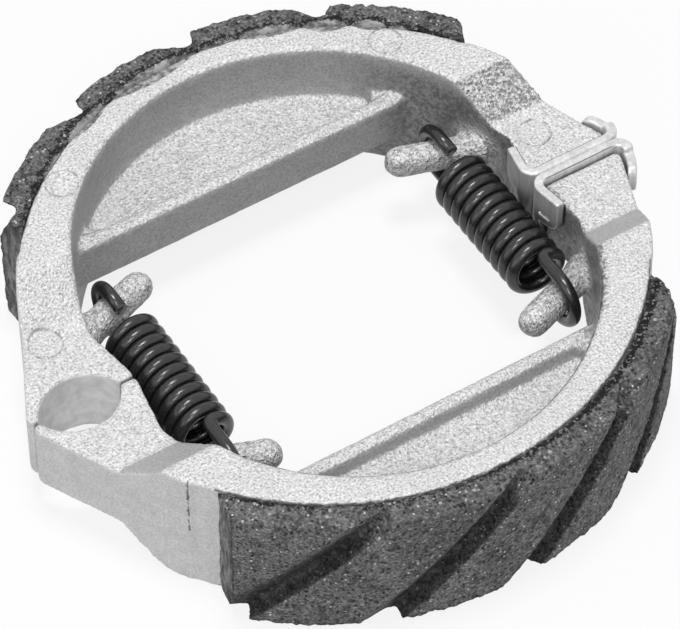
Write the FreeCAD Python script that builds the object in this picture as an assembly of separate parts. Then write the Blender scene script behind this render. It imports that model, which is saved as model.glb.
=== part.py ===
"""Set of two cast drum brake shoes with bonded linings, wear plates and return springs.

Units are millimetres. The drum axis is Z, the open side of the drum faces +Z and the rims stand
on z = 0. The cam ends point to +X, the anchor ends to -X, and shoe A lies on the +Y side.
The set is drawn closed, as its springs hold it off the brake plate: the shoes meet on y = 0.
Shoe B is shoe A turned half a turn about the X direction at mid width.
"""
import FreeCAD, Part
import math
import os

# Drum, lining and rim
DRUM_R = 55.0
SHOE_W = 25.0
LINING_T = 4.7
RETRACT = 2.5
SEAT_STEP = 0.35
RIM_T = 4.55
RIM_INNER_Y = 5.25
SEAT_ANGLE = 34.6
RIM_R = DRUM_R - LINING_T
CAST_R = RIM_R + SEAT_STEP
RIM_INNER_R = RIM_R - RETRACT - RIM_T - RIM_INNER_Y
MID_Z = SHOE_W / 2
OVER = 1.0
NEAR = 0.01

# Lining: angles of its ends on the shoe, and its diagonal grooves (angles in degrees)
LINING_CAM_ANGLE_A = 35.0
LINING_CAM_ANGLE_B = 39.0
LINING_ANCHOR_ANGLE = 40.3
LINING_BEVEL_ANGLE = 2.7
GROOVE_COUNT = 4
GROOVE_FIRST_ANGLE = 37.0
GROOVE_PITCH_ANGLE = 24.6
GROOVE_RUN_ANGLE = 23.8
GROOVE_DEPTH = 2.6
GROOVE_WALL_ANGLE = 0.8
GROOVE_FLOOR_ANGLE = 1.3
GROOVE_SLOPE_ANGLE = 5.0
GROOVE_STEPS = 6
GROOVE_OVER = 1.5

# End pads: thinner than the rim and joined to it by ramps
PAD_T = 13.0
ANCHOR_RAMP_FOOT = 14.3
ANCHOR_RAMP_TOP = 22.0
CAM_RAMP_FOOT = 13.2
CAM_RAMP_TOP = 20.4
SPLIT_GAP = 0.04
CORNER_R = 1.2
CAST_EDGE_R = 0.6
PAD_TOP = MID_Z + PAD_T / 2
PAD_CUT_X = 20.0

# Anchor end in plan: the pin's notch, the pad round it, and its neck to the rim
PIN_R = 7.5
PIN_INSET = 9.15
ANCHOR_LAND_OUT = 9.35
ANCHOR_LAND_IN = 9.85
ANCHOR_TAPER = 1.8
ANCHOR_WAIST_Y = 11.0
ANCHOR_NECK_Y = 13.75
ANCHOR_SIDE_ANGLE = 20.5
PIN_X = PIN_INSET - DRUM_R
ANCHOR_OUT_X = PIN_X - ANCHOR_LAND_OUT
ANCHOR_IN_X = PIN_X + ANCHOR_LAND_IN
ANCHOR_WAIST_X = ANCHOR_IN_X - ANCHOR_TAPER

# Cam end in plan: the pad and its neck to the rim
CAM_PAD_INSET = 2.6
CAM_PAD_L = 15.0
CAM_TAPER = 1.4
CAM_WAIST_Y = 10.0
CAM_NECK_Y = 17.25
CAM_SIDE_ANGLE = 21.5
CAM_OUT_X = DRUM_R - CAM_PAD_INSET
CAM_IN_X = CAM_OUT_X - CAM_PAD_L
CAM_WAIST_X = CAM_IN_X + CAM_TAPER

# Web and chord rib across the arch
WEB_T = 3.2
RIB_Y = 27.0
RIB_T = 3.0
RIB_H = 9.2
RIB_EDGE_R = 0.7
GUSSET = 3.6

# Moulding marks of the ejector pins: on the rim by angle, on the pads by place
MARK_R = 2.7
MARK_DEPTH = 0.15
RIM_MARK_INSET = 3.15
RIM_MARK_ANGLES = (49.7, 127.4)
CAM_MARK_IN = 5.5
CAM_MARK_Y = 8.6
ANCHOR_MARK_IN = 1.15
ANCHOR_MARK_Y = 12.6

# Wear plate folded round each cam end; its outer ear bulges and ends below the strip's top
PLATE_T = 1.5
PLATE_H = 13.6
PLATE_RISE_A = 1.3
PLATE_RISE_B = 1.2
PLATE_GAP = 0.05
PLATE_EAR = 7.0
PLATE_EAR_H = 6.8
PLATE_EAR_START = 1.6
PLATE_EAR_R = 2.2
PLATE_EAR_BULGE = 0.5
PLATE_EAR_DROP = 0.9
PLATE_EAR_TOP_R = 1.4
PLATE_BEND_R = 2.4
PAD_CORNER_CLEAR = 0.2
PAD_CORNER_R = PLATE_BEND_R - PLATE_T + PAD_CORNER_CLEAR
PLATE_SLOT_L = 2.6
PLATE_SLOT_W = 0.7
PLATE_SLOT_END = 2.9
PLATE_SLOT_UP = 1.6

# Return springs, beside the anchor pad and beside the wear plates' inner ears
WIRE_R = 1.1
COIL_R = 3.95
COIL_TURNS = 10.5
COIL_PITCH = 2.26
COIL_GAP = 0.3
HOOK_BEND_R = 1.5
HOOK_GAP = 0.3
HOOK_RETURN = 3.4
ANCHOR_COIL_X = ANCHOR_IN_X + COIL_GAP + WIRE_R + COIL_R
CAM_COIL_X = CAM_IN_X - PLATE_GAP - PLATE_T - COIL_GAP - WIRE_R - COIL_R

# Spring lugs: cast fingers that pass each coil's axis, narrowing from a conical root
LUG_R = 2.6
LUG_PAST_COIL = 6.1
LUG_BEHIND_COIL = 7.0
LUG_TIP_Y = 19.5
LUG_ROOT_Y = 15.0
LUG_ROOT_R = 3.4
LUG_ROOT_L = 3.2


def vec(x, y, z=0.0):
    return FreeCAD.Vector(x, y, z)


def line(a, b):
    return Part.LineSegment(a, b).toShape()


def arc(a, b, c):
    return Part.Arc(a, b, c).toShape()


def prism(edges, z0, z1):
    """Solid over a closed plan outline, from z0 to z1."""
    face = Part.Face(Part.Wire(edges))
    face.translate(vec(0, 0, z0))
    return face.extrude(vec(0, 0, z1 - z0))


def polygon_prism(points, z0, z1):
    return prism(Part.makePolygon([vec(*p) for p in points] + [vec(*points[0])]).Edges, z0, z1)


def on_circle(radius, degrees, cy=0.0):
    a = math.radians(degrees)
    return vec(radius * math.cos(a), cy + radius * math.sin(a))


def on_rim_inside(y):
    """Distance from the Y axis at which the rim's inner arc crosses the given y."""
    return math.sqrt(RIM_INNER_R ** 2 - (y - RIM_INNER_Y) ** 2)


def turned(shape):
    """Shoe A's shape moved to shoe B's place."""
    copy = shape.copy()
    copy.rotate(vec(0, 0, MID_Z), vec(1, 0, 0), 180)
    return copy


def arch_blank():
    """Full-width arch of the shoe: rim and both end pads in one plan outline."""
    cy = -RETRACT
    anchor_side = on_circle(CAST_R, 180 - ANCHOR_SIDE_ANGLE, cy)
    anchor_mid = on_circle(CAST_R, 180 - (ANCHOR_SIDE_ANGLE + SEAT_ANGLE) / 2, cy)
    anchor_step = on_circle(CAST_R, 180 - SEAT_ANGLE, cy)
    anchor_seat = on_circle(RIM_R, 180 - SEAT_ANGLE, cy)
    cam_seat = on_circle(RIM_R, SEAT_ANGLE, cy)
    cam_step = on_circle(CAST_R, SEAT_ANGLE, cy)
    cam_mid = on_circle(CAST_R, (CAM_SIDE_ANGLE + SEAT_ANGLE) / 2, cy)
    cam_side = on_circle(CAST_R, CAM_SIDE_ANGLE, cy)
    cam_face_y = SPLIT_GAP / 2 + PLATE_T + PLATE_GAP
    cam_out = vec(CAM_OUT_X, cam_face_y)
    cam_in = vec(CAM_IN_X, cam_face_y)
    cam_waist = vec(CAM_WAIST_X, CAM_WAIST_Y)
    cam_neck = vec(on_rim_inside(CAM_NECK_Y), CAM_NECK_Y)
    anchor_neck = vec(-on_rim_inside(ANCHOR_NECK_Y), ANCHOR_NECK_Y)
    anchor_waist = vec(ANCHOR_WAIST_X, ANCHOR_WAIST_Y)
    anchor_in = vec(ANCHOR_IN_X, SPLIT_GAP / 2)
    anchor_out = vec(ANCHOR_OUT_X, SPLIT_GAP / 2)
    edges = [
        line(anchor_out, anchor_side),
        arc(anchor_side, anchor_mid, anchor_step),
        line(anchor_step, anchor_seat),
        arc(anchor_seat, on_circle(RIM_R, 90, cy), cam_seat),
        line(cam_seat, cam_step),
        arc(cam_step, cam_mid, cam_side),
        line(cam_side, cam_out),
        line(cam_out, cam_in),
        line(cam_in, cam_waist),
        line(cam_waist, cam_neck),
        arc(cam_neck, vec(0, RIM_INNER_Y + RIM_INNER_R), anchor_neck),
        line(anchor_neck, anchor_waist),
        line(anchor_waist, anchor_in),
        line(anchor_in, anchor_out),
    ]
    return prism(edges, 0, SHOE_W)


def pad_relief(x0, x1, foot, top):
    """Space above and below one end pad, bounded by its ramp up to the rim."""
    slope = (SHOE_W - PAD_TOP) / (top - foot)
    above = [
        (foot, PAD_TOP),
        (top + OVER / slope, SHOE_W + OVER),
        (-OVER, SHOE_W + OVER),
        (-OVER, PAD_TOP),
    ]
    cuts = []
    for mirror in (False, True):
        pts = [vec(x0, y, SHOE_W - z if mirror else z) for y, z in above]
        face = Part.Face(Part.makePolygon(pts + [pts[0]]))
        cuts.append(face.extrude(vec(x1 - x0, 0, 0)))
    return cuts


def web():
    """Thin web that fills the arch beyond the chord rib."""
    z0 = MID_Z - WEB_T / 2
    reach = RIM_INNER_R + OVER
    half = math.sqrt(reach ** 2 - (RIB_Y - RIM_INNER_Y) ** 2)
    edges = [
        line(vec(-half, RIB_Y), vec(half, RIB_Y)),
        arc(vec(half, RIB_Y), vec(0, RIM_INNER_Y + reach), vec(-half, RIB_Y)),
    ]
    return prism(edges, z0, z0 + WEB_T)


def rib():
    """Chord rib: a bar with rounded edges from rim to rim."""
    z0 = MID_Z - RIB_H / 2
    z1 = MID_Z + RIB_H / 2
    half = on_rim_inside(RIB_Y) + OVER
    bar = Part.makeBox(2 * half, RIB_T, RIB_H, vec(-half, RIB_Y, z0))
    long_edges = [e for e in bar.Edges if e.Length > half]
    bar = bar.makeFillet(RIB_EDGE_R, long_edges)
    shapes = [bar]
    for side in (-1, 1):
        end_x = on_rim_inside(RIB_Y + RIB_T)
        points = [
            (side * (end_x - GUSSET), RIB_Y + RIB_T / 2),
            (side * (end_x + OVER), RIB_Y + RIB_T / 2),
            (side * (end_x - GUSSET / 3), RIB_Y + RIB_T + GUSSET),
            (side * (end_x - GUSSET), RIB_Y + RIB_T),
        ]
        shapes.append(polygon_prism(points, z0 + RIB_EDGE_R, z1 - RIB_EDGE_R))
    return shapes


def lug(coil_x):
    """Cast finger with a round tip that carries the hook of the coil at coil_x."""
    root, tip = lug_line(coil_x)
    along = tip - root
    finger = Part.makeCylinder(LUG_R, along.Length, root, along)
    ball = Part.makeSphere(LUG_R, tip)
    cone = Part.makeCone(LUG_ROOT_R, LUG_R, LUG_ROOT_L, root, along)
    return finger.fuse([ball, cone])


def lug_line(coil_x):
    """Root and tip of a lug's centre line."""
    side = math.copysign(1, coil_x)
    root = vec(coil_x + side * LUG_BEHIND_COIL, LUG_ROOT_Y, MID_Z)
    tip = vec(coil_x - side * LUG_PAST_COIL, LUG_TIP_Y, MID_Z)
    return root, tip


def mark(place, top):
    """Shallow round print of an ejector pin in a face at height top."""
    return Part.makeCylinder(MARK_R, MARK_DEPTH + OVER, vec(place.x, place.y, top - MARK_DEPTH))


def casting():
    """Shoe A's aluminium casting."""
    solid = arch_blank()
    adds = [web(), lug(ANCHOR_COIL_X), lug(CAM_COIL_X)] + rib()
    solid = solid.fuse(adds)
    cuts = pad_relief(-DRUM_R - OVER, -PAD_CUT_X, ANCHOR_RAMP_FOOT, ANCHOR_RAMP_TOP)
    cuts += pad_relief(PAD_CUT_X, DRUM_R + OVER, CAM_RAMP_FOOT, CAM_RAMP_TOP)
    cuts.append(Part.makeCylinder(PIN_R, SHOE_W + 2 * OVER, vec(PIN_X, -RETRACT, -OVER)))
    for angle in RIM_MARK_ANGLES:
        cuts.append(mark(on_circle(RIM_R - RIM_MARK_INSET, angle, -RETRACT), SHOE_W))
    cuts.append(mark(vec(CAM_IN_X + CAM_MARK_IN, CAM_MARK_Y), PAD_TOP))
    cuts.append(mark(vec(PIN_X + ANCHOR_MARK_IN, ANCHOR_MARK_Y), PAD_TOP))
    solid = solid.cut(cuts).removeSplitter()
    solid = solid.makeFillet(CORNER_R, upright_edges(solid, [vec(ANCHOR_OUT_X, SPLIT_GAP / 2)], PAD_T))
    face_y = SPLIT_GAP / 2 + PLATE_T + PLATE_GAP
    cam_corners = upright_edges(solid, [vec(CAM_IN_X, face_y), vec(CAM_OUT_X, face_y)], PAD_T)
    solid = solid.makeFillet(PAD_CORNER_R, cam_corners)
    return solid.makeFillet(CAST_EDGE_R, rim_edges(solid))


def rim_edges(solid):
    """Cast edges of both rim faces: the inner arcs and the crests of the ramps."""
    found = []
    for edge in solid.Edges:
        box = edge.BoundBox
        level = box.ZMax - box.ZMin < NEAR and min(abs(box.ZMin), abs(box.ZMax - SHOE_W)) < NEAR
        if level and (is_arc_of(edge, RIM_INNER_R) or is_straight(edge, 2 * SEAT_STEP)):
            found.append(edge)
    return found


def is_arc_of(edge, radius):
    return isinstance(edge.Curve, Part.Circle) and abs(edge.Curve.Radius - radius) < NEAR


def is_straight(edge, longer_than):
    return isinstance(edge.Curve, Part.Line) and edge.Length > longer_than


def upright_edges(solid, places, length):
    """Edges along Z of that length that stand on the given plan points."""
    found = []
    for edge in solid.Edges:
        c = edge.CenterOfMass
        near = any(math.hypot(c.x - p.x, c.y - p.y) < NEAR for p in places)
        if near and abs(edge.Length - length) < NEAR:
            found.append(edge)
    return found


def groove(wall_angle):
    """One diagonal groove: a steep wall on its cam side and a gentle slope on its anchor side."""
    top = DRUM_R + GROOVE_OVER
    floor = DRUM_R - GROOVE_DEPTH
    lift = (top - floor) / GROOVE_DEPTH
    sections = []
    for step in range(GROOVE_STEPS + 1):
        z = (SHOE_W + 2 * OVER) * step / GROOVE_STEPS - OVER
        foot = wall_angle + GROOVE_WALL_ANGLE + GROOVE_RUN_ANGLE * z / SHOE_W
        slope_foot = foot + GROOVE_FLOOR_ANGLE
        pts = [
            on_circle(top, foot - GROOVE_WALL_ANGLE * lift, -RETRACT),
            on_circle(floor, foot, -RETRACT),
            on_circle(floor, slope_foot, -RETRACT),
            on_circle(top, slope_foot + GROOVE_SLOPE_ANGLE * lift, -RETRACT),
        ]
        pts = [vec(p.x, p.y, z) for p in pts]
        sections.append(Part.makePolygon(pts + [pts[0]]))
    return Part.makeLoft(sections, True, True)


def lining(cam_angle):
    """Friction lining bonded to shoe A's rim, with bevelled ends and diagonal grooves."""
    anchor_angle = 180 - LINING_ANCHOR_ANGLE
    cam = on_circle(RIM_R, cam_angle, -RETRACT)
    cam_out = on_circle(DRUM_R, cam_angle + LINING_BEVEL_ANGLE, -RETRACT)
    anchor = on_circle(RIM_R, anchor_angle, -RETRACT)
    anchor_out = on_circle(DRUM_R, anchor_angle - LINING_BEVEL_ANGLE, -RETRACT)
    edges = [
        arc(cam, on_circle(RIM_R, 90, -RETRACT), anchor),
        line(anchor, anchor_out),
        arc(anchor_out, on_circle(DRUM_R, 90, -RETRACT), cam_out),
        line(cam_out, cam),
    ]
    body = prism(edges, 0, SHOE_W)
    cuts = [groove(GROOVE_FIRST_ANGLE + k * GROOVE_PITCH_ANGLE) for k in range(GROOVE_COUNT)]
    return body.cut(cuts).removeSplitter()


def offset_corner(corner, along, normal, distance):
    """Where the side through corner, moved out by distance, meets the face moved down by it."""
    return corner + normal * distance - along * ((distance + normal.y * distance) / along.y)


def wear_plate(rise, slotted):
    """Shoe A's hardened plate: a strip folded round the cam end, one ear with a punched slot."""
    top = PAD_TOP + rise
    bottom = top - PLATE_H
    face_y = SPLIT_GAP / 2 + PLATE_T + PLATE_GAP
    pad_in = vec(CAM_IN_X, face_y)
    pad_out = vec(CAM_OUT_X, face_y)
    in_dir = (vec(CAM_WAIST_X, CAM_WAIST_Y) - pad_in).normalize()
    out_dir = (on_circle(CAST_R, CAM_SIDE_ANGLE, -RETRACT) - pad_out).normalize()
    in_out = vec(-in_dir.y, in_dir.x)
    out_out = vec(out_dir.y, -out_dir.x)
    ear = PLATE_EAR - PLATE_T
    in_fold = offset_corner(pad_in, in_dir, in_out, PLATE_GAP)
    out_fold = offset_corner(pad_out, out_dir, out_out, PLATE_GAP)
    in_tip = in_fold + in_dir * ear
    out_tip = out_fold + out_dir * ear
    in_low = offset_corner(pad_in, in_dir, in_out, PLATE_GAP + PLATE_T)
    out_low = offset_corner(pad_out, out_dir, out_out, PLATE_GAP + PLATE_T)
    out_cheek = (out_low + out_tip + out_out * PLATE_T) / 2 + out_out * PLATE_EAR_BULGE
    edges = [
        line(in_low, out_low),
        arc(out_low, out_cheek, out_tip + out_out * PLATE_T),
        line(out_tip + out_out * PLATE_T, out_tip),
        arc(out_tip, (out_tip + out_fold) / 2 + out_out * PLATE_EAR_BULGE, out_fold),
        line(out_fold, in_fold),
        line(in_fold, in_tip),
        line(in_tip, in_tip + in_out * PLATE_T),
        line(in_tip + in_out * PLATE_T, in_low),
    ]
    plate = prism(edges, bottom, top)
    plate = plate.makeFillet(PLATE_BEND_R, upright_edges(plate, (in_low, out_low), PLATE_H))
    plate = plate.makeFillet(PLATE_BEND_R - PLATE_T, upright_edges(plate, (in_fold, out_fold), PLATE_H))
    ear_top = top - PLATE_EAR_DROP
    ear_bottom = top - PLATE_EAR_H
    plate = plate.cut([ear_relief(face_y + PLATE_EAR_START, ear_bottom, bottom), ear_step(face_y, ear_top)])
    low_tips = [e for e in plate.Edges if is_ear_corner(e, ear_bottom, in_tip.y)]
    plate = plate.makeFillet(PLATE_EAR_R, low_tips)
    top_tips = [e for e in plate.Edges if is_ear_corner(e, ear_top, in_tip.y)]
    plate = plate.makeFillet(PLATE_EAR_TOP_R, top_tips)
    if slotted:
        mid = in_tip - in_dir * PLATE_SLOT_END + in_out * (PLATE_T / 2)
        corner = vec(mid.x - PLATE_T, mid.y - PLATE_SLOT_L / 2, ear_bottom + PLATE_SLOT_UP)
        plate = plate.cut(Part.makeBox(2 * PLATE_T, PLATE_SLOT_L, PLATE_SLOT_W, corner))
    return plate.removeSplitter()


def ear_relief(y, ear_z, bottom):
    """Space below both ears, which leaves the folds at full height."""
    width = CAM_OUT_X - CAM_IN_X + 4 * PLATE_T
    return Part.makeBox(width, PLATE_EAR, ear_z - bottom, vec(CAM_IN_X - 2 * PLATE_T, y, bottom))


def ear_step(face_y, ear_z):
    """Space above the outer ear, which stands lower than the strip between the folds."""
    corner = vec((CAM_IN_X + CAM_OUT_X) / 2, face_y + PLATE_EAR_START, ear_z)
    return Part.makeBox(CAM_PAD_L, PLATE_EAR, PLATE_EAR_DROP + OVER, corner)


def is_ear_corner(edge, ear_z, tip_y):
    """True for the short level edge at a free corner of an ear, at height ear_z."""
    c = edge.CenterOfMass
    return abs(edge.Length - PLATE_T) < NEAR and abs(c.z - ear_z) < NEAR and c.y > tip_y - PLATE_T


def bend_to(start, heading, target, radius):
    """Arc edge that leaves start along heading and turns to run along target, and its end point."""
    across = (target - heading * target.dot(heading)).normalize()
    centre = start + across * radius
    turn = math.acos(target.dot(heading))

    def at(angle):
        return centre - across * (radius * math.cos(angle)) + heading * (radius * math.sin(angle))

    return arc(start, at(turn / 2), at(turn)), at(turn)


def lug_far_y():
    """Far side of a lug, measured from the split, where a hook goes round it."""
    run = LUG_BEHIND_COIL + LUG_PAST_COIL
    slope = (LUG_TIP_Y - LUG_ROOT_Y) / run
    return LUG_ROOT_Y + slope * LUG_BEHIND_COIL + LUG_R * math.hypot(1, slope)


def hook_edges(start, heading):
    """Hook at the +Y end: from the coil's last point, under the lug, round it and back over it."""
    bend, foot = bend_to(start, heading, vec(0, 1), HOOK_BEND_R)
    radius = -foot.z
    reach = lug_far_y() + HOOK_GAP + WIRE_R
    mid_y = reach - radius
    turn_in = vec(foot.x, mid_y, -radius)
    turn_out = vec(foot.x, mid_y, radius)
    return [
        bend,
        line(foot, turn_in),
        arc(turn_in, vec(foot.x, reach), turn_out),
        line(turn_out, turn_out - vec(0, HOOK_RETURN)),
    ]


def spring():
    """Close-wound tension spring with a hook at each end, its coil axis along Y through the origin."""
    cut_back = math.atan(HOOK_BEND_R / COIL_R)
    turns = COIL_TURNS - cut_back / math.pi
    length = turns * COIL_PITCH
    helix = Part.makeHelix(COIL_PITCH, length, COIL_R)
    helix.rotate(vec(0, 0), vec(0, 0, 1), math.degrees(cut_back))
    helix.Placement = FreeCAD.Placement(vec(0, -length / 2), FreeCAD.Rotation(vec(1, 1, 1), -120)).multiply(
        helix.Placement)
    last = math.radians(360 * COIL_TURNS) - cut_back
    rise = COIL_PITCH / (2 * math.pi)
    end = vec(COIL_R * math.sin(last), length / 2, COIL_R * math.cos(last))
    heading = vec(COIL_R * math.cos(last), rise, -COIL_R * math.sin(last)).normalize()
    far = hook_edges(end, heading)
    near = [e.copy() for e in far]
    for edge in near:
        edge.rotate(vec(0, 0), vec(1, 0, 0), 180)
    path = Part.Wire(Part.__sortEdges__(near + helix.Edges + far))
    tail = far[-1].Vertexes[-1].Point
    circle = Part.Circle(tail, vec(0, 1), WIRE_R).toShape()
    return path.makePipeShell([Part.Wire(circle)], True, False)


def main():
    os.makedirs("parts", exist_ok=True)
    shoe = casting()
    nodes = {
        "shoe_casting_a": shoe,
        "shoe_casting_b": turned(shoe),
        "lining_a": lining(LINING_CAM_ANGLE_A),
        "lining_b": turned(lining(LINING_CAM_ANGLE_B)),
        "wear_plate_a": wear_plate(PLATE_RISE_A, False),
        "wear_plate_b": wear_plate(PLATE_RISE_B, True).mirror(vec(0, 0), vec(0, 1)),
    }
    for name, x in (("return_spring_anchor_side", ANCHOR_COIL_X), ("return_spring_cam_side", CAM_COIL_X)):
        nodes[name] = spring()
        nodes[name].translate(vec(x, 0, MID_Z))
    for name, shape in nodes.items():
        print(name, len(shape.Solids), round(shape.Volume, 2), shape.isValid())
        shape.exportStep("parts/" + name + ".step")


main()
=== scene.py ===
"""Looks of the brake shoe set: castings, linings, plates and springs, with the stage and camera."""
import math
import bmesh
import bpy
import numpy as np
from mathutils import Matrix, Vector, noise
from mathutils.bvhtree import BVHTree


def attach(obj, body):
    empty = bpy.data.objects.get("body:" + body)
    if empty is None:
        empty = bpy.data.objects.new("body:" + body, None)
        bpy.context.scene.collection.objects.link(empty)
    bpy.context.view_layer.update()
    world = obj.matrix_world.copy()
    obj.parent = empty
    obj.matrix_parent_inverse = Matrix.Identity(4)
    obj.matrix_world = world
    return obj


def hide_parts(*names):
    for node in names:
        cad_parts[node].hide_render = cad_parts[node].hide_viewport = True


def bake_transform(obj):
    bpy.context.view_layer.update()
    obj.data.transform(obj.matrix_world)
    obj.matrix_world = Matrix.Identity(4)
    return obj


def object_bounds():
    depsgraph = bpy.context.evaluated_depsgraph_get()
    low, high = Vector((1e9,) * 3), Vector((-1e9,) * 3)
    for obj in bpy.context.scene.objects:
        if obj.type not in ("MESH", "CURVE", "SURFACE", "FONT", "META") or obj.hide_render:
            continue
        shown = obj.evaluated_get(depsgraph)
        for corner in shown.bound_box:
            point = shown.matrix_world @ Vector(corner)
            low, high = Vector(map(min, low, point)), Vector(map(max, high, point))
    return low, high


MM = 0.001

# Sizes of the part, in millimetres and degrees
SHOE_W = 25.0
MID_Z = SHOE_W / 2
DRUM_R = 55.0
RIM_R = 50.3
RETRACT = 2.5
RIM_INNER_R = 38.0
RIM_INNER_Y = 5.25
RIB_BACK_Y = 29.8
RIB_TOP_Z = 17.1
PAD_TOP_Z = 19.0
SEAT_ANGLE = 34.6
PIN_X = -45.85
PIN_R = 7.5

# Ejector prints: their radius, and x, y and the height of the face that each is in
MARK_R = 2.7
MARKS = ((30.5, 33.5, 25.0), (-28.6, 35.0, 25.0), (42.9, 8.6, 19.0), (-44.7, 12.6, 19.0))

# Places where shoe A's rim was trimmed along its outer edge: angle, half width in degrees and depth,
# then how far down the trim reaches and how deep it goes where it runs on into the lining
TRIMS = ((123.5, 4.5, 0.5), (112.2, 5.8, 1.35), (95.8, 9.6, 2.2), (81.8, 3.8, 0.6), (71.8, 6.0, 1.4),
         (61.4, 4.2, 1.75), (53.2, 3.3, 1.25), (47.9, 2.0, 0.4))
TRIM_HEIGHT = 1.6
FILED_DEPTH = 0.12

# Spring lugs: root and tip of each centre line in plan, at mid width, and the radius
LUGS = (((-37.65, 15.0), (-24.55, 19.5)), ((37.5, 15.0), (24.4, 19.5)))
LUG_R = 2.6

# Flaws of the castings: a parting step down half of the outer wall, and a pit in shoe A's web
STEP_ANGLE = 146.1
STEP_LENGTH = 12.6
PIT = (-5.0, 31.9, 14.5)
PIT_R = 0.15

# Linings: angles in degrees of the bevel at the anchor end and of the diagonal grooves
LINING_END = 139.7
BEVEL_START = 137.0
GROOVE_COUNT = 4
GROOVE_FIRST = 37.0
GROOVE_PITCH = 24.6
GROOVE_RUN = 23.8

# Wear of the linings, in millimetres
CHIP_DEPTH = 0.85
PIT_DEPTH = 0.55
CRUMB_DEPTH = 0.30
PLUG_DEPTH = 0.35
SPILL_LENGTH = 0.92

# Distance in millimetres that stands for nowhere near
FAR = 9.0

# Where each kind of face on a casting, and each patch of painted shade or painted light on it, begins and
# where it is full, in millimetres
POCKET_RADIUS = (RIM_INNER_R + 1.2, RIM_INNER_R + 0.2)
POCKET_Y = (24, 25)
LUG_REACH = (LUG_R + 3.0, LUG_R + 0.8)
TOP_EDGE_SHADE_RADIUS = (RIM_INNER_R + 2.0, RIM_INNER_R + 0.2)
TOP_EDGE_SHADE_X = (24, 30)
INNER_SHADE_X = (-38, -34)
INNER_SHADE_RADIUS = (49.4, 48.4)
DEEP_X = (22, 33)
DEEP_Z = (24.5, 21)
BORE_RADIUS = (PIN_R + 0.9, PIN_R + 0.4)
STEP_RADIUS = (RIM_R - 0.6, RIM_R - 1.2)

# Which faces count as level and which as ramps, by the upward share of their normals
LEVEL_TILT = (0.45, 0.85)
RAMP_TILT_HIGH = (0.97, 0.92)
RAMP_TILT_LOW = (0.45, 0.6)

# Heights of the lumps in the castings' skin, in millimetres
SKIN_WAVE = 0.05
SKIN_LUMP = 0.03
LUG_WAVE = 0.10
LUG_LUMP = 0.07
RING_DEPTH = 0.10
TRIM_SLOPE = 0.10

# Where the painted shade in the grooves and the glue and wear on the linings begin and where they are
# full, in millimetres and degrees
GROOVE_WALL = (-0.30, 0.05)
GROOVE_SLOPE = (10.5, 2.5)
GROOVE_FOOT = (0.0, 6.5)
CRUST_ANGLE = (112, 52)
CHIP_RADIUS = (RIM_R + 0.8, RIM_R + 2)
PIT_RADIUS = (RIM_R + 0.3, RIM_R + 0.8)
SPILL_RADIUS = (DRUM_R - 0.4, DRUM_R - 2.4)
UPRIGHT_TILT = (0.85, 0.60)

# Width in millimetres of the glue along lining B's upper edge, and what it gains towards the cam end
CRUST_WIDTH = 0.30
CRUST_GAIN = 1.30

# Painted shade on the ears of the wear plates: heights in millimetres between which they get darker
EAR_Z = (19.2, 11.5)

# Meshes: the weld in metres, and the voxel sizes in millimetres
WELD = 2e-6
CASTING_VOXEL = 0.45
LINING_VOXEL = 0.34
PLATE_VOXEL = 0.16

# Lumps in the meshes: fractal increment, gap between octaves and number of octaves
FRACTAL = (1.0, 2.0, 2)

# Dark lines on the castings, those behind the rib, at shoe B's inner rim edge and next to the wear plate
# being painted shade: attribute, how far the edge wanders, start and end of the fade, and tone
CAST_LINES = (("rib_crease_shade", 1.0, 0.26, 0.06, 0.42), ("seam", 1.0, 0.30, 0.05, 0.25),
              ("split", 0.0, 0.30, 0.05, 0.35), ("lip", 0.5, 0.50, 0.26, 0.26),
              ("flaw", 1.0, 0.24, 0.10, 0.18), ("gap", 0.6, 0.42, 0.22, 0.16))

# Flecks in the linings: scale, squeeze along z, share of the cells left without one, and tone
FLECKS = ((1500.0, 1.0, 0.87, 0.85), (900.0, 2.8, 0.88, 0.60))

# The world's light, and the floor: half its side, its drop, its bounce, and its share of plain white
WORLD_LIGHT = 0.30
FLOOR_SIZE = 3.0
FLOOR_DROP = 0.0002
FLOOR_BOUNCE = 0.45
FLOOR_WHITE = 0.84

# Lamps: name, place, target, width in metres and power in watts
LAMPS = (("top_box", (0.0, 0.06, 1.2), (0, 0, 0), 0.28, 7.1),
         ("front_box", (-0.40, -0.66, 1.0), (0, 0, 0), 0.34, 3.6),
         ("left_box", (-0.9, -0.1, 0.5), (0, 0, 0.01), 0.5, 1.0))

# Camera, fitted to the outlines in the photograph: angles in radians, distances in metres,
# the focal length and the picture's width in pixels, and the sensor's width in millimetres
VIEW_HEADING = 1.01505
VIEW_DIP = 0.89160
VIEW_ROLL = -0.0051
VIEW_DISTANCE = 0.70404
VIEW_TARGET = (0.004826, 0.006417, 0)
FOCAL_PIXELS = 4395.79
PHOTO_PIXELS = 680
SENSOR_WIDTH = 36.0

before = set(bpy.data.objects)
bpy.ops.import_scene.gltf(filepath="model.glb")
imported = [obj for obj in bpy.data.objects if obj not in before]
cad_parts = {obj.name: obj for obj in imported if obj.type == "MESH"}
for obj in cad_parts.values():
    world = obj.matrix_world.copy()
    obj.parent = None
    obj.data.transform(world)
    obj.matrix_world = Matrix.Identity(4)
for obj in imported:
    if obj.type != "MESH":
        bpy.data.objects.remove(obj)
cad_box = [list(c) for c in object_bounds()]


# Helpers for node materials
def grey(v):
    """A colour of equal red, green and blue."""
    return (v, v, v, 1)


def fill(tree, node, inputs):
    """Link or set the inputs of a node."""
    for key, value in inputs.items():
        if isinstance(value, bpy.types.NodeSocket):
            tree.links.new(value, node.inputs[key])
        else:
            node.inputs[key].default_value = value


def put(tree, kind, inputs=None, **props):
    """A new node with its properties set and its inputs filled."""
    node = tree.nodes.new(kind)
    for key, value in props.items():
        setattr(node, key, value)
    fill(tree, node, inputs or {})
    return node


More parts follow.
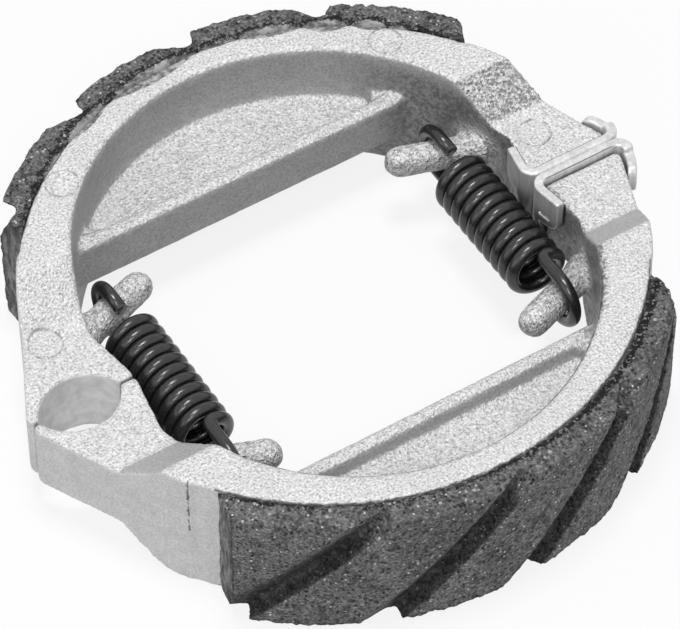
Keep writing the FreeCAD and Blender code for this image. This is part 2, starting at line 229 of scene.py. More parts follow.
def new_material(name):
    """A node material that holds only a Principled shader and its output."""
    mat = bpy.data.materials.new(name)
    mat.use_nodes = True
    tree = mat.node_tree
    tree.nodes.clear()
    bsdf = put(tree, "ShaderNodeBsdfPrincipled")
    out = put(tree, "ShaderNodeOutputMaterial", {"Surface": bsdf.outputs["BSDF"]})
    return mat, tree, bsdf, out


def object_coords(tree):
    """Coordinates in metres in the piece's own frame."""
    return put(tree, "ShaderNodeTexCoord").outputs["Object"]


def stretched(tree, coords, scale):
    """Coordinates scaled along each axis, so that a pattern on them is stretched out."""
    return put(tree, "ShaderNodeMapping", {"Vector": coords, "Scale": scale}).outputs[0]


def noise_tex(tree, coords, scale, detail, rough):
    """Smooth noise about 0.5."""
    inputs = {"Vector": coords, "Scale": scale, "Detail": detail, "Roughness": rough}
    return put(tree, "ShaderNodeTexNoise", inputs).outputs["Fac"]


def voronoi(tree, coords, scale):
    """Cells with a distance from the middle of each, and a colour for each."""
    return put(tree, "ShaderNodeTexVoronoi", {"Vector": coords, "Scale": scale})


def ramp(tree, fac, stops):
    """Greys along fac, from pairs of a position and a value."""
    node = put(tree, "ShaderNodeValToRGB", {"Fac": fac})
    elements = node.color_ramp.elements
    while len(elements) < len(stops):
        elements.new(0.5)
    for element, (pos, value) in zip(elements, stops):
        element.position = pos
        element.color = grey(value)
    return node.outputs["Color"]


def math_node(tree, operation, *values):
    """Result of a Math node."""
    return put(tree, "ShaderNodeMath", dict(enumerate(values)), operation=operation).outputs[0]


def plus(tree, a, b):
    """Sum of two values."""
    return math_node(tree, "ADD", a, b)


def times(tree, a, b):
    """Product of two values."""
    return math_node(tree, "MULTIPLY", a, b)


def larger(tree, a, b):
    """The larger of two values."""
    return math_node(tree, "MAXIMUM", a, b)


def level(tree, fac, start, end, low=0.0, high=1.0):
    """Linear step of fac from start to end, as a value from low to high."""
    inputs = {"Value": fac, "From Min": start, "From Max": end, "To Min": low, "To Max": high}
    return put(tree, "ShaderNodeMapRange", inputs).outputs["Result"]


def attribute(tree, name):
    """A value stored with the mesh."""
    return put(tree, "ShaderNodeAttribute", attribute_name=name).outputs["Fac"]


def mix_grey(tree, fac, a, b, blend="MIX"):
    """Two colours mixed, where a plain number stands for a grey."""
    a, b = (v if isinstance(v, bpy.types.NodeSocket) else grey(v) for v in (a, b))
    inputs = {0: fac, 6: a, 7: b}
    return put(tree, "ShaderNodeMix", inputs, data_type="RGBA", blend_type=blend).outputs[2]


def toned(tree, colour, share):
    """The colour multiplied by another one."""
    return mix_grey(tree, 1.0, colour, share, "MULTIPLY")


def darker(tree, colour, mask, share):
    """The colour, dimmed to the given share where the mask is 1."""
    return mix_grey(tree, mask, colour, toned(tree, colour, share))


def bump(tree, height, distance, strength, normal=None):
    """Normals tilted by a height, on top of other bumps if they are given."""
    inputs = {"Height": height, "Distance": distance, "Strength": strength}
    if normal is not None:
        inputs["Normal"] = normal
    return put(tree, "ShaderNodeBump", inputs).outputs["Normal"]


def spots(tree, cells, rim, core, chance, full):
    """Round spots in the middle of those cells whose own value is high enough."""
    own = put(tree, "ShaderNodeSeparateColor", {0: cells.outputs["Color"]}).outputs[0]
    disc = level(tree, cells.outputs["Distance"], rim, core)
    return times(tree, disc, level(tree, own, chance, full))


# Materials
def cast_lines(tree, colour, obj, mid):
    """Ragged dark lines round the prints, at the seams and the split and at the flaws, and painted shade
    lines behind the rib, at shoe B's inner rim edge and next to the wear plate.
    """
    ragged = level(tree, noise_tex(tree, obj, scale=700.0, detail=2.0, rough=0.6), 0.3, 0.7, -0.16, 0.16)
    ring = math_node(tree, "ABSOLUTE", attribute(tree, "ring"))
    ring_line = level(tree, plus(tree, ring, ragged), 0.20, 0.04)
    ring_line = times(tree, ring_line, level(tree, mid, 0.40, 0.56, 0.4, 1.0))
    colour = darker(tree, colour, ring_line, 0.50)
    for name, wander, start, end, tone in CAST_LINES:
        away = plus(tree, attribute(tree, name), times(tree, ragged, wander))
        colour = darker(tree, colour, level(tree, away, start, end), tone)
    return colour


def cast_material():
    """Bright cast aluminium: blasted grain on level faces, smoother walls and wrinkled lugs; painted shade
    on the inner walls, deepest at the cam end, and on the lugs' sides, and painted light in the pin's
    bore.
    """
    mat, tree, bsdf, _ = new_material("cast_aluminium")
    obj = object_coords(tree)
    fine = noise_tex(tree, obj, scale=2600.0, detail=1.5, rough=0.6)
    wrinkle = noise_tex(tree, obj, scale=1900.0, detail=1.5, rough=0.6)
    lump = noise_tex(tree, obj, scale=1150.0, detail=2.5, rough=0.62)
    mid = noise_tex(tree, obj, scale=420.0, detail=3.0, rough=0.6)
    wide = noise_tex(tree, obj, scale=90.0, detail=3.0, rough=0.55)
    speck = voronoi(tree, obj, 2300.0).outputs["Distance"]
    fuzz = level(tree, noise_tex(tree, obj, scale=1700.0, detail=1.5, rough=0.6), 0.35, 0.65, -0.32, 0.32)
    grainy = level(tree, plus(tree, attribute(tree, "grainy"), fuzz), 0.25, 0.75)
    coarse = attribute(tree, "coarse")
    slope = attribute(tree, "slope")

    skin = larger(tree, larger(tree, coarse, slope), times(tree, attribute(tree, "web"), 0.6))
    bumpy = larger(tree, grainy, coarse)
    normal = bump(tree, wrinkle, 0.0006, level(tree, skin, 0, 1, 0.12, 0.90))
    normal = bump(tree, lump, 0.0006, times(tree, coarse, 0.5), normal)
    normal = bump(tree, speck, 0.00022, level(tree, bumpy, 0, 1, 0.10, 0.60), normal)
    normal = bump(tree, fine, 0.00030, level(tree, bumpy, 0, 1, 0.12, 0.85), normal)

    outer = ramp(tree, fine, [(0.34, 0.68), (0.64, 0.88)])
    # Painted light: the wall of the pin's bore gets a brighter grey.
    bore = ramp(tree, mid, [(0.36, 0.86), (0.62, 0.99)])
    outer = mix_grey(tree, attribute(tree, "bore"), outer, bore)
    # Painted shade: the walls inside the rim take this darker grey in place of the outer walls' tone.
    inner = ramp(tree, fine, [(0.34, 0.35), (0.64, 0.51)])
    # Painted shade, mottled, on the inner walls at the cam end.
    cam_wall_shade = times(tree, attribute(tree, "deep"), level(tree, lump, 0.40, 0.58, 0.45, 1.0))
    inner = darker(tree, inner, cam_wall_shade, 0.38)
    wall = mix_grey(tree, attribute(tree, "inner_wall_shade"), outer, inner)
    wall = toned(tree, wall, ramp(tree, mid, [(0.36, 0.90), (0.64, 1.0)]))
    top = ramp(tree, fine, [(0.30, 0.42), (0.44, 0.66), (0.56, 0.80), (0.72, 0.98)])
    lug = ramp(tree, wrinkle, [(0.36, 0.54), (0.50, 0.86), (0.62, 1.0)])
    lug = toned(tree, lug, ramp(tree, lump, [(0.38, 0.70), (0.54, 1.0)]))
    # Painted shade on the lugs' sides: darker where their faces turn away from level.
    lug = toned(tree, lug, level(tree, grainy, 0, 1, 0.72, 1.0))
    cam_ramp = ramp(tree, wrinkle, [(0.36, 0.26), (0.50, 0.52), (0.62, 0.86)])
    plain_ramp = ramp(tree, fine, [(0.34, 0.42), (0.64, 0.58)])
    facet = ramp(tree, lump, [(0.36, 0.12), (0.50, 0.27), (0.62, 0.52)])
    colour = mix_grey(tree, grainy, wall, top)
    colour = mix_grey(tree, coarse, colour, lug)
    colour = mix_grey(tree, slope, colour, cam_ramp)
    colour = mix_grey(tree, attribute(tree, "plain"), colour, plain_ramp)
    colour = toned(tree, colour, ramp(tree, wide, [(0.35, 0.93), (0.65, 1.0)]))
    colour = mix_grey(tree, level(tree, attribute(tree, "trim"), 0.02, 0.14), colour, facet)
    fill(tree, bsdf, {"Base Color": cast_lines(tree, colour, obj, mid), "Normal": normal,
                      "Roughness": ramp(tree, lump, [(0.3, 0.44), (0.7, 0.60)]), "Metallic": 0.15})
    return mat


def lining_grain(tree, obj, fine, mid, on_drum):
    """The bare compound: grain, scratches from grinding, pits and pale flecks."""
    wide = noise_tex(tree, obj, scale=110.0, detail=3.0, rough=0.6)
    scratch = noise_tex(tree, stretched(tree, obj, (0.25, 0.25, 1.0)), scale=2600.0, detail=2.0, rough=0.6)
    pits = voronoi(tree, obj, 1300.0)
    colour = ramp(tree, fine, [(0.36, 0.088), (0.46, 0.200), (0.54, 0.255), (0.64, 0.440)])
    colour = toned(tree, colour, ramp(tree, mid, [(0.36, 0.45), (0.47, 0.95), (0.62, 1.0)]))
    colour = toned(tree, colour, ramp(tree, wide, [(0.36, 0.76), (0.58, 1.0)]))
    colour = mix_grey(tree, times(tree, on_drum, level(tree, scratch, 0.64, 0.72)), colour, 0.30)
    colour = darker(tree, colour, times(tree, on_drum, level(tree, scratch, 0.37, 0.31)), 0.35)
    colour = darker(tree, colour, spots(tree, pits, rim=0.44, core=0.28, chance=0.56, full=0.62), 0.25)
    for scale, squeeze, bare, tone in FLECKS:
        cells = voronoi(tree, stretched(tree, obj, (1, 1, squeeze)), scale)
        fleck = spots(tree, cells, rim=0.34, core=0.20, chance=bare, full=bare + 0.02)
        colour = mix_grey(tree, fleck, colour, tone)
    normal = bump(tree, mid, 0.0009, 0.55)
    normal = bump(tree, pits.outputs["Distance"], 0.0003, 0.35, normal)
    normal = bump(tree, fine, 0.0004, 0.8, normal)
    return colour, normal


def lining_material():
    """Ground friction compound: dark grey with pits, fibres and pale flecks, with painted shade in the
    grooves.
    """
    mat, tree, bsdf, _ = new_material("friction_lining")
    obj = object_coords(tree)
    fine = noise_tex(tree, obj, scale=2300.0, detail=2.5, rough=0.65)
    mid = noise_tex(tree, obj, scale=620.0, detail=3.0, rough=0.6)
    ragged = level(tree, noise_tex(tree, obj, scale=1500.0, detail=2.0, rough=0.7), 0.36, 0.64, -1.0, 1.0)
    off_rim = attribute(tree, "off_rim")
    on_drum = level(tree, off_rim, 6.0, 7.0)
    colour, normal = lining_grain(tree, obj, fine, mid, on_drum)
    colour = toned(tree, colour, level(tree, on_drum, 0, 1, 0.76, 1.0))

    chopped = noise_tex(tree, stretched(tree, obj, (1, 1, 0.3)), scale=1100.0, detail=3.0, rough=0.6)
    chopped = ramp(tree, chopped, [(0.38, 0.08), (0.50, 0.20), (0.62, 0.36)])
    end = plus(tree, attribute(tree, "end"), times(tree, ragged, 0.15))
    end_line = level(tree, math_node(tree, "ABSOLUTE", end), 0.34, 0.12)
    colour = mix_grey(tree, level(tree, end, -0.06, 0.06), colour, chopped)
    colour = darker(tree, colour, end_line, 0.30)
    # Painted shade in the grooves.
    groove = plus(tree, attribute(tree, "groove"), times(tree, ragged, 0.10))
    colour = darker(tree, colour, level(tree, groove, 0.10, 0.90), 0.26)

    glue_line = level(tree, plus(tree, off_rim, ragged), 0.85, 0.45)
    colour = darker(tree, colour, glue_line, 0.08)
    crust = plus(tree, attribute(tree, "crust"), times(tree, ragged, 0.35))
    crumbs = noise_tex(tree, obj, scale=1900.0, detail=1.5, rough=0.6)
    crumbs = ramp(tree, crumbs, [(0.50, 0.004), (0.58, 0.03), (0.66, 0.26)])
    colour = mix_grey(tree, level(tree, crust, -0.05, 0.05), colour, crumbs)
    filed = level(tree, plus(tree, off_rim, times(tree, ragged, 0.22)), 0.0, -0.12)
    filed = times(tree, filed, level(tree, attribute(tree, "shelf"), 0.02, 0.10))
    filed_grey = ramp(tree, mid, [(0.38, 0.10), (0.50, 0.24), (0.62, 0.48)])
    colour = mix_grey(tree, filed, colour, filed_grey)
    worn = times(tree, level(tree, attribute(tree, "edge"), 0.25, 0.6), level(tree, mid, 0.48, 0.62))
    colour = mix_grey(tree, times(tree, worn, 0.5), colour, 0.17)
    fill(tree, bsdf, {"Base Color": colour, "Normal": normal, "Specular IOR Level": 0.22,
                      "Roughness": ramp(tree, fine, [(0.3, 0.60), (0.7, 0.82)])})
    return mat


def plate_material():
    """Bright plated sheet steel with a faint rolled streak, painted shade low on the ears and along the
    casting.
    """
    mat, tree, bsdf, _ = new_material("plate_steel")
    obj = object_coords(tree)
    rolled = noise_tex(tree, stretched(tree, obj, (1, 1, 0.12)), scale=1500.0, detail=2.0, rough=0.6)
    wide = noise_tex(tree, obj, scale=260.0, detail=2.0, rough=0.5)
    tone = ramp(tree, rolled, [(0.3, 0.62), (0.7, 0.84)])
    tone = toned(tree, tone, ramp(tree, wide, [(0.3, 0.88), (0.7, 1.0)]))
    # Painted shade: the upright faces get darker towards the bottom.
    tone = toned(tree, tone, level(tree, attribute(tree, "ear"), 0, 1, 1.0, 0.14))
    # Painted shade: a dark line where the plate's top edge meets the casting.
    tone = darker(tree, tone, level(tree, attribute(tree, "gap"), 0.34, 0.20), 0.10)
    normal = bump(tree, wide, 0.00025, 0.35)
    normal = bump(tree, rolled, 0.00008, 0.35, normal)
    fill(tree, bsdf, {"Base Color": tone, "Normal": normal, "Metallic": 0.35,
                      "Roughness": ramp(tree, wide, [(0.3, 0.26), (0.7, 0.42)])})
    return mat


def spring_material():
    """Black oiled spring wire with scratches from its drawing and bare cut ends."""
    mat, tree, bsdf, _ = new_material("spring_black")
    obj = object_coords(tree)
    fine = noise_tex(tree, obj, scale=2600.0, detail=3.0, rough=0.6)
    wide = noise_tex(tree, obj, scale=420.0, detail=2.0, rough=0.5)
    black = ramp(tree, fine, [(0.35, 0.005), (0.60, 0.012), (0.82, 0.060)])
    bare = ramp(tree, fine, [(0.3, 0.02), (0.7, 0.10)])
    colour = mix_grey(tree, attribute(tree, "cut"), black, bare)
    normal = bump(tree, wide, 0.0003, 0.15)
    normal = bump(tree, fine, 0.0001, 0.25, normal)
    fill(tree, bsdf, {"Base Color": colour, "Normal": normal, "Specular IOR Level": 0.66,
                      "Roughness": ramp(tree, wide, [(0.3, 0.21), (0.7, 0.30)])})
    return mat


# Helpers for meshes
def node_copy(node, name):
    """A new object with a welded copy of a CAD node's mesh."""
    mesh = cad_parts[node].data.copy()
    mesh.name = name
    mesh.materials.clear()
    bm = bmesh.new()
    bm.from_mesh(mesh)
    bmesh.ops.remove_doubles(bm, verts=bm.verts, dist=WELD)
    bmesh.ops.recalc_face_normals(bm, faces=bm.faces)
    bm.to_mesh(mesh)
    bm.free()
    obj = bpy.data.objects.new(name, mesh)
    bpy.context.scene.collection.objects.link(obj)
    return obj


def voxels(obj, size_mm):
    """Even quads over the whole surface, small enough to carry worn edges and lumps."""
    mod = obj.modifiers.new("even", "REMESH")
    mod.mode = "VOXEL"
    mod.voxel_size = size_mm * MM
    bpy.context.view_layer.update()
    evaluated = obj.evaluated_get(bpy.context.evaluated_depsgraph_get())
    mesh = bpy.data.meshes.new_from_object(evaluated)
    old = obj.data
    obj.modifiers.clear()
    obj.data = mesh
    bpy.data.meshes.remove(old)


def points_of(mesh):
    """The points, in metres."""
    co = np.empty(len(mesh.vertices) * 3, np.float32)
    mesh.vertices.foreach_get("co", co)
    return co.reshape(-1, 3).astype(float)


def normals_of(mesh):
    """The points' normals."""
    no = np.empty(len(mesh.vertices) * 3, np.float32)
    mesh.vertex_normals.foreach_get("vector", no)
    return no.reshape(-1, 3).astype(float)


def edges_of(mesh):
    """The two points of each edge."""
    ends = np.empty(len(mesh.edges) * 2, np.int32)
    mesh.edges.foreach_get("vertices", ends)
    return ends.reshape(-1, 2)


def set_points(mesh, co):
    """Write the points, kept inside the box of the CAD model."""
    co = np.clip(co, cad_box[0], cad_box[1])
    mesh.vertices.foreach_set("co", co.astype(np.float32).ravel())
    mesh.update()


def store(mesh, name, values):
    """Keep a value for each point, for the material to read."""
    layer = mesh.attributes.new(name, "FLOAT", "POINT")
    layer.data.foreach_set("value", np.asarray(values, np.float32))


def neighbour_mean(values, ends, count):
    """Mean of the values of each point's neighbours."""
    total = np.zeros_like(values)
    for k in range(values.shape[1]):
        total[:, k] = (np.bincount(ends[:, 0], values[ends[:, 1], k], len(values))
                       + np.bincount(ends[:, 1], values[ends[:, 0], k], len(values)))
    return total / np.maximum(count, 1)[:, None]


def softened(co, ends, rounds, share):
    """Points moved towards their neighbours' mean, by one share for all or a share for each."""
    count = np.bincount(ends.ravel(), minlength=len(co))
    share = np.broadcast_to(share, len(co))[:, None]
    for _ in range(rounds):
        co = co + share * (neighbour_mean(co, ends, count) - co)
    return co


def noise_at(co, size_mm, seed):
    """Smooth noise, about -1 to 1, at points in metres."""
    scale = 1.0 / (size_mm * MM)
    shift = Vector((seed, seed * 1.7, -seed))
    return np.array([noise.fractal(Vector(p * scale) + shift, *FRACTAL) for p in co])


def ease(values, start, end):
    """Smooth step from 0 at start to 1 at end."""
    t = np.clip((values - start) / (end - start), 0, 1)
    return t * t * (3 - 2 * t)


def gap_to(node, co, where):
    """Distance in millimetres from the chosen points to a CAD piece."""
    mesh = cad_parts[node].data
    tree = BVHTree.FromPolygons([v.co for v in mesh.vertices], [f.vertices for f in mesh.polygons])
    gap = np.full(len(co), FAR)
    for i in np.flatnonzero(where):
        gap[i] = tree.find_nearest(Vector(co[i]))[3] / MM
    return gap


def settle(obj, body, node, mat):
    """Finish a piece: its shading and material, the node it stands for, and the body it rides on."""
    obj.data.shade_smooth()
    obj.data.materials.clear()
    obj.data.materials.append(mat)
    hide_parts(node)
    if body:
        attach(obj, body)


# Places on a shoe
def in_shoe(co, side):
    """Points in millimetres in shoe A's own frame; shoe B is shoe A turned about X."""
    mm = co / MM
    if side > 0:
        return mm
    return np.column_stack([mm[:, 0], -mm[:, 1], SHOE_W - mm[:, 2]])


def drum_polar(local):
    """Radius and angle in degrees about the axis of the shoe's arcs."""
    y = local[:, 1] + RETRACT
    return np.hypot(local[:, 0], y), np.degrees(np.arctan2(y, local[:, 0]))


def arc_axes(local, radius, side):
    """Unit vectors out from the arcs' axis and onward round it, in the part's frame."""
    x = local[:, 0]
    y = local[:, 1] + RETRACT
    outward = np.column_stack([x, side * y, 0 * radius]) / radius[:, None]
    onward = np.column_stack([-y, side * x, 0 * radius]) / radius[:, None]
    return outward, onward


def trim_depth(radius, angle):
    """How far a point lies inside a trimmed place of the rim's edge, negative outside."""
    depth = np.zeros_like(angle)
    for centre, half, deep in TRIMS:
        depth = np.maximum(depth, deep * np.clip(1 - ((angle - centre) / half) ** 2, 0, 1) ** 0.8)
    return radius - (RIM_R - depth) - np.where(depth > 0, 0, FAR)


def filed_width(angle):
    """How far the trimming of the rim's edge runs on into the lining."""
    width = np.zeros_like(angle)
    for centre, half, deep in TRIMS:
        arch = np.clip(1 - ((angle - centre) / half) ** 2, 0, 1) ** 0.5
        width = np.maximum(width, min(deep, 1.0) * arch)
    return width


def groove_shade(local, angle):
    """Painted shade in the grooves: it ends sharply at the steep wall and fades out over the slope."""
    shade = np.zeros_like(angle)
    for k in range(GROOVE_COUNT):
        past = angle - (GROOVE_FIRST + k * GROOVE_PITCH + GROOVE_RUN * local[:, 2] / SHOE_W)
        shade = np.maximum(shade, ease(past, *GROOVE_WALL) * ease(past, *GROOVE_SLOPE))
    return shade * (0.3 + 0.7 * ease(local[:, 2], *GROOVE_FOOT))


def crust_width(angle):
    """Width of the glue that oozed out between lining and rim, widest at the cam end."""
    return CRUST_WIDTH + CRUST_GAIN * ease(angle, *CRUST_ANGLE)


def ring_distance(local):
    """Distance to the edge of the nearest ejector print, negative inside it."""
    best = np.full(len(local), FAR)
    for x, y, z in MARKS:
        near = np.abs(local[:, 2] - z) < 0.8
        gap = np.hypot(local[:, 0] - x, local[:, 1] - y) - MARK_R
        best = np.where(near & (np.abs(gap) < np.abs(best)), gap, best)
    return best


def to_segment(points, a, b):
    """Distance in millimetres from points to the line from a to b."""
    a = np.array(a)
    b = np.array(b)
    t = np.clip((points - a) @ (b - a) / ((b - a) @ (b - a)), 0, 1)
    return np.linalg.norm(points - a - t[:, None] * (b - a), axis=1)


def lug_distance(local):
    """Distance to the nearest lug's centre line."""
    best = np.full(len(local), FAR)
    for root, tip in LUGS:
        best = np.minimum(best, to_segment(local, (*root, MID_Z), (*tip, MID_Z)))
    return best


# Pieces
def casting_faces(local, no, side, pocket):
    """Masks of the casting's kinds of face, from 0 to 1, among them the painted shade on the inner walls
    and at the cam end, and the painted light in the pin's bore.
    """
    x, y, z = local.T
    radius, angle = drum_polar(local)
    inside = np.hypot(x, y - RIM_INNER_Y)
    upward = np.abs(no[:, 2])
    height = np.abs(z - MID_Z)
    grainy = ease(upward, *LEVEL_TILT)
    # Painted shade: on shoe B the top face beside the inner rim edge at the cam end takes the darker wall
    # colour.
    if side < 0:
        top_edge_shade = ease(inside, *TOP_EDGE_SHADE_RADIUS) * ease(x, *TOP_EDGE_SHADE_X)
        grainy = grainy * (1 - 0.8 * top_edge_shade)
    between = (height > PAD_TOP_Z - MID_Z + 0.3) & (height < MID_Z - 0.3) & (np.abs(angle - 90) > 50)
    slope = between * ease(upward, *RAMP_TILT_HIGH) * ease(upward, *RAMP_TILT_LOW)
    return {
        "grainy": grainy,
        "inner_wall_shade": ease(x, *INNER_SHADE_X) * ease(radius, *INNER_SHADE_RADIUS),
        "deep": ease(x, *DEEP_X) * ease(z, *DEEP_Z),
        "web": pocket * (upward > 0.8),
        "slope": slope * ((z > MID_Z) & (x > 0)),
        "plain": slope * (z < MID_Z),
        "bore": ease(np.hypot(x - PIN_X, y), *BORE_RADIUS),
    }


def casting_marks(local, no, side, pocket):
    """Distances in millimetres from the casting's lines, some of them painted shade, and the depth inside
    its trimmed edge.
    """
    x, y, z = local.T
    radius, angle = drum_polar(local)
    inside = np.hypot(x, y - RIM_INNER_Y)
    trimmed = (z > SHOE_W - TRIM_HEIGHT) & (side > 0)
    seated = (angle > SEAT_ANGLE + 1) & (angle < 180 - SEAT_ANGLE - 4)
    flank = np.abs(z - MID_Z) > MID_Z - 0.8
    on_rib = (np.abs(z - RIB_TOP_Z) < 1.2) & (np.abs(y - RIB_BACK_Y) < 1.5) & (pocket > 0.9)
    under_lip = (side < 0) & (z < 1.5) & (y > 25)
    step_run = (angle - STEP_ANGLE) * math.radians(RIM_R)
    step = np.hypot(step_run, 4 * ease(radius, *STEP_RADIUS))
    flaw = np.where(z < STEP_LENGTH, step, FAR)
    if side > 0:
        flaw = np.minimum(flaw, np.linalg.norm(local - np.array(PIT), axis=1) - PIT_R)
    return {
        "trim": np.where(trimmed, trim_depth(radius, angle), -FAR),
        "seam": np.where(seated & flank, RIM_R - radius, FAR),
        "split": np.where(x < -30, y, FAR),
        # Painted shade: a dark line along the back of the rib's crest.
        "rib_crease_shade": np.where(on_rib & (no[:, 2] * side > 0.5), np.abs(y - RIB_BACK_Y), FAR),
        # Painted shade: a dark line along shoe B's inner rim edge.
        "lip": np.where(under_lip, np.hypot(inside - RIM_INNER_R, z), FAR),
        "ring": ring_distance(local),
        "flaw": flaw,
    }


def casting(side_name, side, mat):
    """A shoe's casting: softened edges, an uneven skin, and what its material reads."""
    node = "shoe_casting_" + side_name
    obj = node_copy(node, "casting_" + side_name)
    voxels(obj, CASTING_VOXEL)
    mesh = obj.data
    ends = edges_of(mesh)
    sharp = points_of(mesh)
    local = in_shoe(sharp, side)
    inside = np.hypot(local[:, 0], local[:, 1] - RIM_INNER_Y)
    pocket = ease(inside, *POCKET_RADIUS) * ease(local[:, 1], *POCKET_Y)
    coarse = ease(lug_distance(local), *LUG_REACH)

    co = softened(sharp, ends, 3, 0.5)
    co = softened(co, ends, 9, 0.5 * np.maximum(pocket, 0.6 * coarse))
    set_points(mesh, co)
    no = normals_of(mesh)
    faces = casting_faces(local, no, side, pocket)
    marks = casting_marks(local, no, side, pocket)
    # Distance to the wear plate, for the painted shade where the casting meets it.
    near_cam = (np.abs(sharp[:, 1]) < 16 * MM) & (sharp[:, 0] > 33 * MM)
    gap = gap_to("wear_plate_" + side_name, sharp, near_cam)

    lift = SKIN_WAVE * noise_at(co, 6.0, seed=3.0 + side)
    lift = lift + SKIN_LUMP * noise_at(co, 1.6, seed=9.0 + side) - SKIN_LUMP
    lug_wave = LUG_WAVE * noise_at(co, 2.6, seed=31.0 + side)
    lift += coarse * (lug_wave + LUG_LUMP * noise_at(co, 1.0, seed=37.0))
    lift -= RING_DEPTH * (1 - np.clip(np.abs(marks["ring"]) / 0.5, 0, 1))
    lift -= TRIM_SLOPE * np.clip(marks["trim"], 0, 3)
    set_points(mesh, co + no * (lift * MM)[:, None])
    for name, values in {**faces, **marks, "coarse": coarse, "gap": gap}.items():
        store(mesh, name, values)
    settle(obj, "shoe_" + side_name, node, mat)


def lining(side_name, side, mat):
    """A shoe's lining: chipped edges, pits, oozed glue and the spill at its anchor end."""
    obj = node_copy("lining_" + side_name, "friction_" + side_name)
    voxels(obj, LINING_VOXEL)
    mesh = obj.data
    ends = edges_of(mesh)
    soft = softened(points_of(mesh), ends, 2, 0.6)
    wide = softened(soft, ends, 12, 0.6)
    edge = np.clip(np.linalg.norm(wide - soft, axis=1) / (0.35 * MM), 0, 1)
    set_points(mesh, soft)
    no = normals_of(mesh)
    local = in_shoe(soft, side)
    z = local[:, 2]
    radius, angle = drum_polar(local)
    upright = ease(np.abs(no[:, 2]), *UPRIGHT_TILT)
    flank = np.abs(z - MID_Z) > MID_Z - 0.9
    shelf = filed_width(angle) * ((z > MID_Z) & (side > 0))
    oozed = flank & (side < 0) & (z < MID_Z)
    crust = np.where(oozed, crust_width(angle) - (radius - RIM_R), -FAR)

    chips = np.clip(noise_at(soft, 2.2, seed=21.0 + side) + 0.15, 0, 1)
    chips = chips + 0.5 * np.clip(noise_at(soft, 0.9, seed=3.0), 0, 1)
    pits = np.clip(noise_at(soft, 1.3, seed=45.0 + side) - 0.28, 0, 1)
    lift = -CHIP_DEPTH * edge * chips * (0.2 + 0.8 * ease(radius, *CHIP_RADIUS))
    lift -= PIT_DEPTH * pits * ease(radius, *PIT_RADIUS)
    lift += 0.05 * noise_at(soft, 0.8, seed=5.0 + side) + 0.06 * noise_at(soft, 4.0, seed=7.0)
    lift = np.minimum(lift, 0.03)
    filed = (shelf > 0.1) & (radius < RIM_R + shelf)
    lift = np.where(filed, -FILED_DEPTH * (no[:, 2] > 0.5), lift)
    crumbs = np.clip(noise_at(soft, 0.9, seed=17.0) + 0.2, 0, 1)
    lift = np.where(crust > 0, -CRUMB_DEPTH * crumbs, lift)

    outward, onward = arc_axes(local, radius, side)
    plug = PLUG_DEPTH * (flank & (shelf > 0.1) & (radius < RIM_R + 0.5))
    foot = ease(angle, BEVEL_START, LINING_END) * ease(radius, *SPILL_RADIUS)
    spill = foot * (SPILL_LENGTH + 0.25 * noise_at(soft, 4.0, seed=51.0))
    moved = no * lift[:, None] - outward * plug[:, None] + onward * spill[:, None]
    set_points(mesh, soft + moved * MM)
    store(mesh, "groove", groove_shade(local, angle) * upright * (radius > RIM_R + 0.5))
    store(mesh, "end", np.where(upright > 0.5, np.radians(angle - BEVEL_START) * radius, -FAR))
    store(mesh, "crust", crust)
    store(mesh, "shelf", shelf)
    store(mesh, "off_rim", np.where(flank, radius - RIM_R - shelf, FAR))
    store(mesh, "edge", edge)
    settle(obj, "shoe_" + side_name, "lining_" + side_name, mat)


def plate(side_name, mat):
    """A wear plate with rounded edges; its ears and its distance from the casting are kept for the
    material's painted shade.
    """
    obj = node_copy("wear_plate_" + side_name, "plate_" + side_name)
    voxels(obj, PLATE_VOXEL)
    mesh = obj.data
    co = softened(points_of(mesh), edges_of(mesh), 6, 0.5)
    set_points(mesh, co)
    no = normals_of(mesh)
    set_points(mesh, co + no * (0.05 * MM + 0.02 * MM * noise_at(co, 3.0, seed=12.0))[:, None])
    upright = np.abs(no[:, 2]) < 0.5
    store(mesh, "ear", upright * ease(co[:, 2] / MM, *EAR_Z))
    mid_points = np.column_stack([co[:, :2], np.full(len(co), MID_Z * MM)])
    store(mesh, "gap", gap_to("shoe_casting_" + side_name, mid_points, no[:, 2] > 0.5))
    settle(obj, "shoe_" + side_name, "wear_plate_" + side_name, mat)


def spring(side_name, mat):
    """A return spring with the solid's own mesh, its cut ends kept for the material."""
    node = "return_spring_" + side_name
    obj = node_copy(node, "spring_" + side_name)
    mesh = obj.data
    layer = mesh.attributes.new("cut", "FLOAT", "FACE")
    layer.data.foreach_set("value", [float(abs(face.normal.y) > 0.9999) for face in mesh.polygons])
    settle(obj, None, node, mat)
    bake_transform(obj)


# Stage
def seen_ray(tree):
    """1 for rays that show the background: from the camera, or by way of gloss or glass."""
    path = put(tree, "ShaderNodeLightPath")
    gloss = larger(tree, path.outputs["Is Camera Ray"], path.outputs["Is Glossy Ray"])
    return larger(tree, gloss, path.outputs["Is Transmission Ray"])


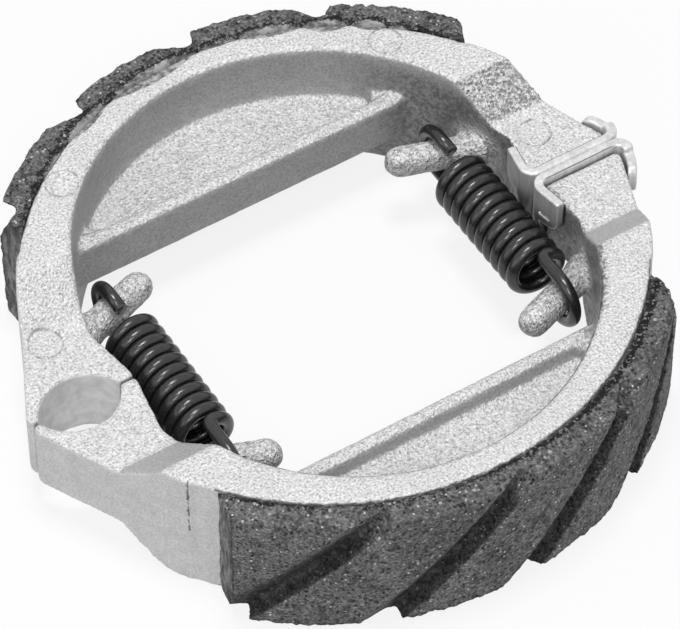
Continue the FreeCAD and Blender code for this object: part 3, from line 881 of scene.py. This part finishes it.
def white_floor():
    """White ground under the part, which keeps only a faint shadow where it is seen."""
    mesh = bpy.data.meshes.new("floor")
    corners = [(x * FLOOR_SIZE, y * FLOOR_SIZE, 0) for x, y in ((-1, -1), (1, -1), (1, 1), (-1, 1))]
    mesh.from_pydata(corners, [], [(0, 1, 2, 3)])
    floor = bpy.data.objects.new("floor", mesh)
    bpy.context.scene.collection.objects.link(floor)
    floor.location.z = -FLOOR_DROP
    mat, tree, bsdf, out = new_material("floor_white")
    fill(tree, bsdf, {"Base Color": grey(FLOOR_BOUNCE), "Roughness": 0.9})
    paper = put(tree, "ShaderNodeBsdfDiffuse", {"Color": grey(0.9)})
    white = put(tree, "ShaderNodeEmission", {"Color": grey(1.0), "Strength": 1.0})
    faint = put(tree, "ShaderNodeMixShader", {0: FLOOR_WHITE, 1: paper.outputs[0], 2: white.outputs[0]})
    seen = put(tree, "ShaderNodeMixShader", {0: seen_ray(tree), 1: bsdf.outputs[0], 2: faint.outputs[0]})
    fill(tree, out, {"Surface": seen.outputs[0]})
    mesh.materials.append(mat)


def white_world():
    """White surroundings, dimmer where they only give light."""
    world = bpy.data.worlds.new("studio")
    bpy.context.scene.world = world
    world.use_nodes = True
    tree = world.node_tree
    tree.nodes.clear()
    seen = put(tree, "ShaderNodeBackground", {"Color": grey(1.0), "Strength": 1.0})
    lit = put(tree, "ShaderNodeBackground", {"Color": grey(1.0), "Strength": WORLD_LIGHT})
    mix = put(tree, "ShaderNodeMixShader", {0: seen_ray(tree), 1: lit.outputs[0], 2: seen.outputs[0]})
    put(tree, "ShaderNodeOutputWorld", {"Surface": mix.outputs[0]})


def area_light(name, place, target, width, power):
    """A square lamp that faces its target."""
    data = bpy.data.lights.new(name, "AREA")
    data.shape = "SQUARE"
    data.size = width
    data.energy = power
    obj = bpy.data.objects.new(name, data)
    bpy.context.scene.collection.objects.link(obj)
    obj.location = place
    obj.rotation_euler = (Vector(target) - Vector(place)).to_track_quat("-Z", "Y").to_euler()


def camera():
    """Camera at the photograph's angle."""
    heading = Vector((math.cos(VIEW_HEADING), math.sin(VIEW_HEADING), 0))
    side = Vector((math.sin(VIEW_HEADING), -math.cos(VIEW_HEADING), 0))
    vertical = Vector((0, 0, 1))
    ahead = math.cos(VIEW_DIP) * heading - math.sin(VIEW_DIP) * vertical
    above = math.sin(VIEW_DIP) * heading + math.cos(VIEW_DIP) * vertical
    right = math.cos(VIEW_ROLL) * side + math.sin(VIEW_ROLL) * above
    up = -math.sin(VIEW_ROLL) * side + math.cos(VIEW_ROLL) * above
    data = bpy.data.cameras.new("photo_camera")
    data.sensor_width = SENSOR_WIDTH
    data.sensor_fit = "HORIZONTAL"
    data.lens = FOCAL_PIXELS / PHOTO_PIXELS * SENSOR_WIDTH
    data.clip_start = 0.01
    data.clip_end = 50
    obj = bpy.data.objects.new("photo_camera", data)
    bpy.context.scene.collection.objects.link(obj)
    place = Vector(VIEW_TARGET) - VIEW_DISTANCE * ahead
    basis = Matrix((right, up, -ahead)).transposed().to_4x4()
    obj.matrix_world = Matrix.Translation(place) @ basis
    bpy.context.scene.camera = obj


aluminium = cast_material()
casting("a", 1, aluminium)
casting("b", -1, aluminium)
friction = lining_material()
lining("a", 1, friction)
lining("b", -1, friction)
steel = plate_material()
plate("a", steel)
plate("b", steel)
black = spring_material()
spring("anchor_side", black)
spring("cam_side", black)

white_floor()
white_world()
for lamp in LAMPS:
    area_light(*lamp)
camera()
bpy.context.scene.view_settings.view_transform = "Standard"
